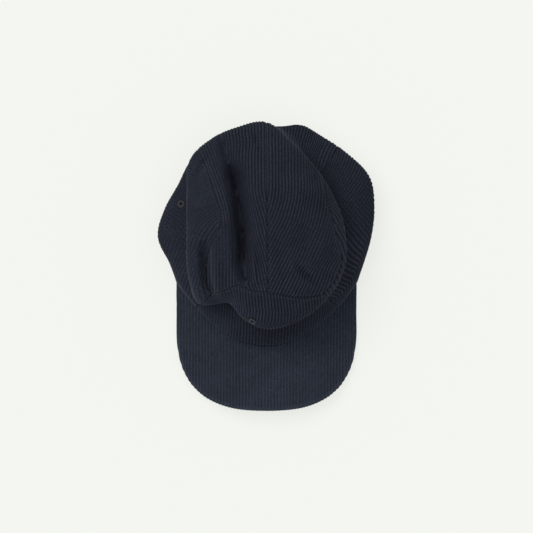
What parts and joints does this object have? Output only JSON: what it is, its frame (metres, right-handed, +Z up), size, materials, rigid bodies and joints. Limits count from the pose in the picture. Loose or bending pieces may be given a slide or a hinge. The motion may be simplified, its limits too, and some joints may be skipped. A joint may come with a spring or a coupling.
{
  "type": "corduroy cap",
  "caption": "Soft corduroy cap with a front bill, a slumped folded crown, stitched eyelets and an adjustable back strap with a lever buckle.",
  "frame": {"origin": "on the table, under the middle of the cap's bounding box", "axes": "+Z up, -Y towards the front of the bill, +X to the wearer's left"},
  "size_m": [0.2161, 0.2891, 0.0835],
  "materials": {
    "corduroy": "soft ribbed pile",
    "twill": "matte twill",
    "thread": "satin thread",
    "label": "satin woven",
    "board": "matte",
    "brass": "brushed"
  },
  "bodies": {
    "crown": {"front_panel": "corduroy", "side_panel_left": "corduroy", "side_panel_right": "corduroy", "back_panel_left": "corduroy", "back_panel_right": "corduroy", "seam_tape_centre": "twill", "seam_tape_left": "twill", "seam_tape_right": "twill", "seam_tape_top": "twill", "eyelet_front_left": "thread", "eyelet_front_right": "thread", "eyelet_side_left": "thread", "eyelet_side_right": "thread", "sweatband": "twill", "size_label": "label", "arch_binding": "twill", "strap_long": "corduroy", "strap_short": "corduroy", "buckle_frame": "brass", "buckle_pin": "brass"},
    "bill": {"bill_top_cover": "corduroy", "bill_board": "board", "bill_edge_fold": "corduroy", "bill_under_cover": "corduroy"},
    "keeper": {"strap_keeper": "corduroy"},
    "lever": {"buckle_lever": "brass"}
  },
  "joints": [
    {"name": "bill_tilt", "type": "hinge", "parent": "crown", "child": "bill", "pos_m": [0, -0.0145, 0.018], "axis": [-1, 0, 0], "range_deg": [0, 15]},
    {"name": "keeper_slide", "type": "hinge", "parent": "crown", "child": "keeper", "pos_m": [0, 0.0515, 0.011], "axis": [0, 0, 1], "range_deg": [-9, 25]},
    {"name": "lever_open", "type": "hinge", "parent": "crown", "child": "lever", "pos_m": [0.02342, 0.11339, 0.011], "axis": [0, 0, 1], "range_deg": [0, 100]}
  ]
}
